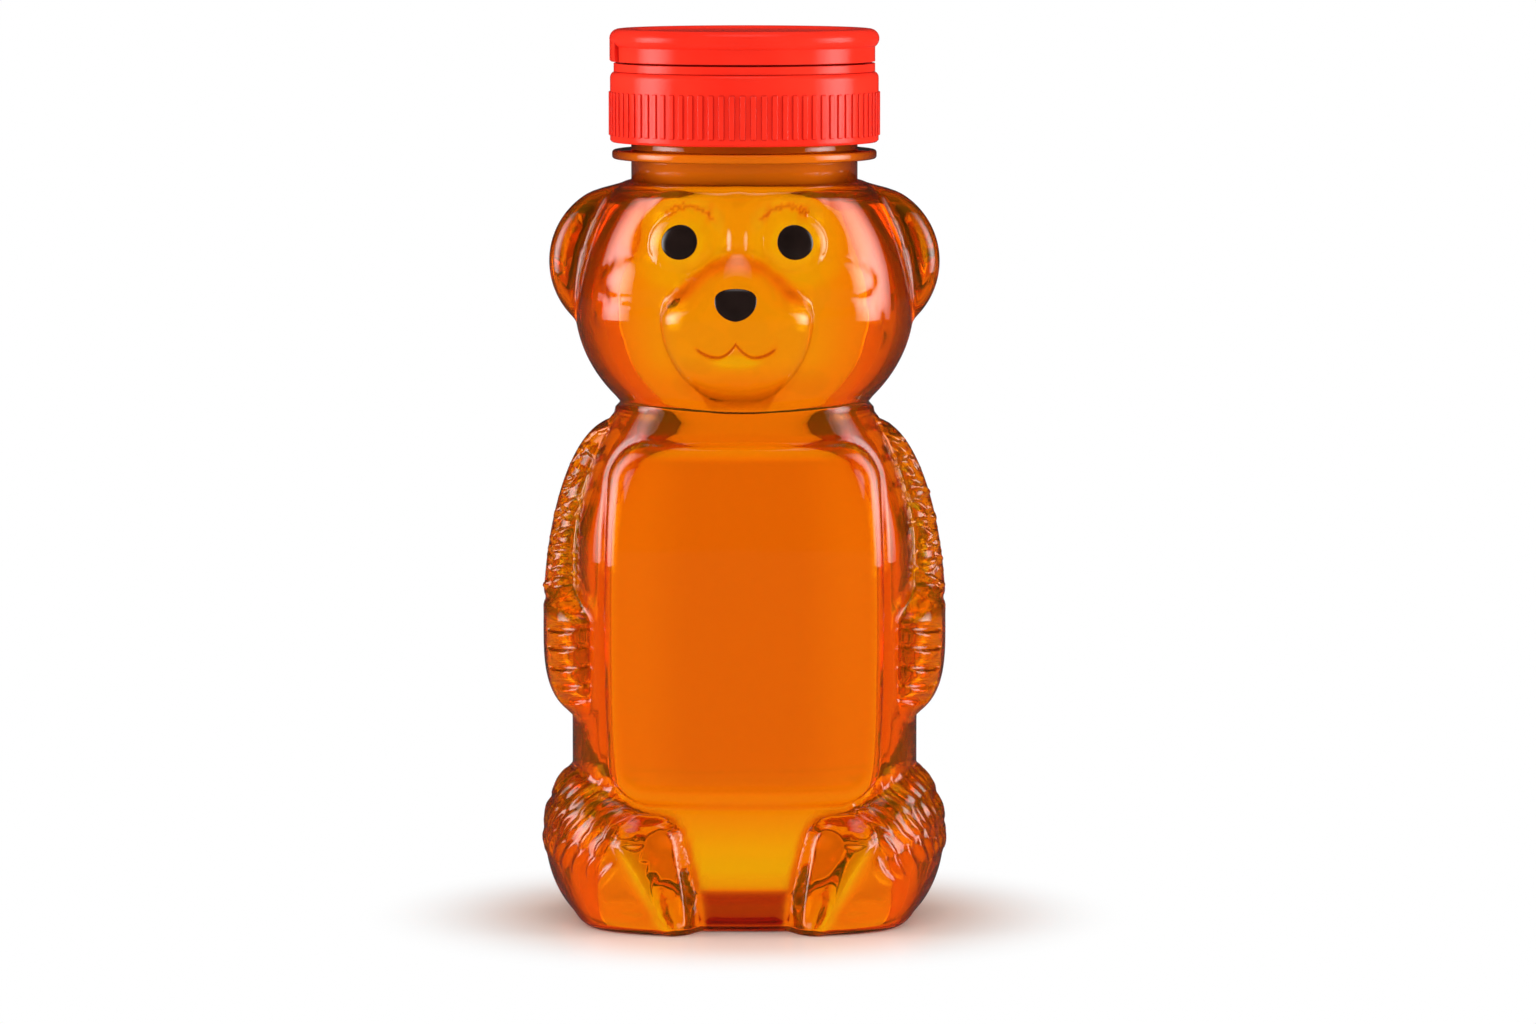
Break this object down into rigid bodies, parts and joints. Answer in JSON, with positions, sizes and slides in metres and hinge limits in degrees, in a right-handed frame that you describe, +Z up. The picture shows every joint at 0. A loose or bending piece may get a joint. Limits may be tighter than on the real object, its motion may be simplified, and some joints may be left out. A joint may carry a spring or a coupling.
{
  "type": "bear bottle",
  "caption": "Clear blown bottle in the shape of a sitting bear, filled with honey, with a ribbed screw closure and a flip lid over its spout.",
  "frame": {"origin": "middle of the footprint's box on the surface that the bottle stands on", "axes": "+Z up along the bottle, -Y towards the front with the face and the label panel, +X to the bear's left; the neck's axis is vertical at y = +2.8 mm"},
  "size_m": [0.0622, 0.0486, 0.1373],
  "materials": {
    "clear_shell": "clear blown plastic, glossy, faintly amber, moulded fur and finger marks",
    "honey": "clear amber liquid",
    "black_paint": "thick glossy black paint with a soft round edge",
    "foam_liner": "white closed-cell foam",
    "red_closure": "bright red moulded plastic, glossy, fine grip ribs"
  },
  "bodies": {
    "bottle": {"bottle_body": "clear_shell", "bottle_neck": "clear_shell", "honey": "honey", "left_eye": "black_paint", "right_eye": "black_paint", "nose": "black_paint"},
    "liner": {"sealing_liner": "foam_liner"},
    "closure": {"closure_base": "red_closure", "hinge_film_left": "red_closure", "hinge_film_right": "red_closure", "hinge_spring": "red_closure"},
    "lid": {"closure_lid": "red_closure"}
  },
  "joints": [
    {"name": "closure_rise", "type": "slide", "parent": "bottle", "child": "liner", "axis": [0, 0, 1], "range_m": [0, 0.0127]},
    {"name": "closure_turn", "type": "hinge", "parent": "liner", "child": "closure", "pos_m": [0, 0.0028, 0.12], "axis": [0, 0, 1], "range_deg": [0, 1080]},
    {"name": "lid_hinge", "type": "hinge", "parent": "closure", "child": "lid", "pos_m": [-0.01371, 0.01914, 0.13214], "axis": [-0.766, -0.6428, 0], "range_deg": [0, 170], "deforming": ["hinge_film_left", "hinge_film_right", "hinge_spring"]}
  ],
  "couplings": [
    {"joint": "closure_rise", "follows": "closure_turn", "m_per_rad": 0.0006737}
  ]
}
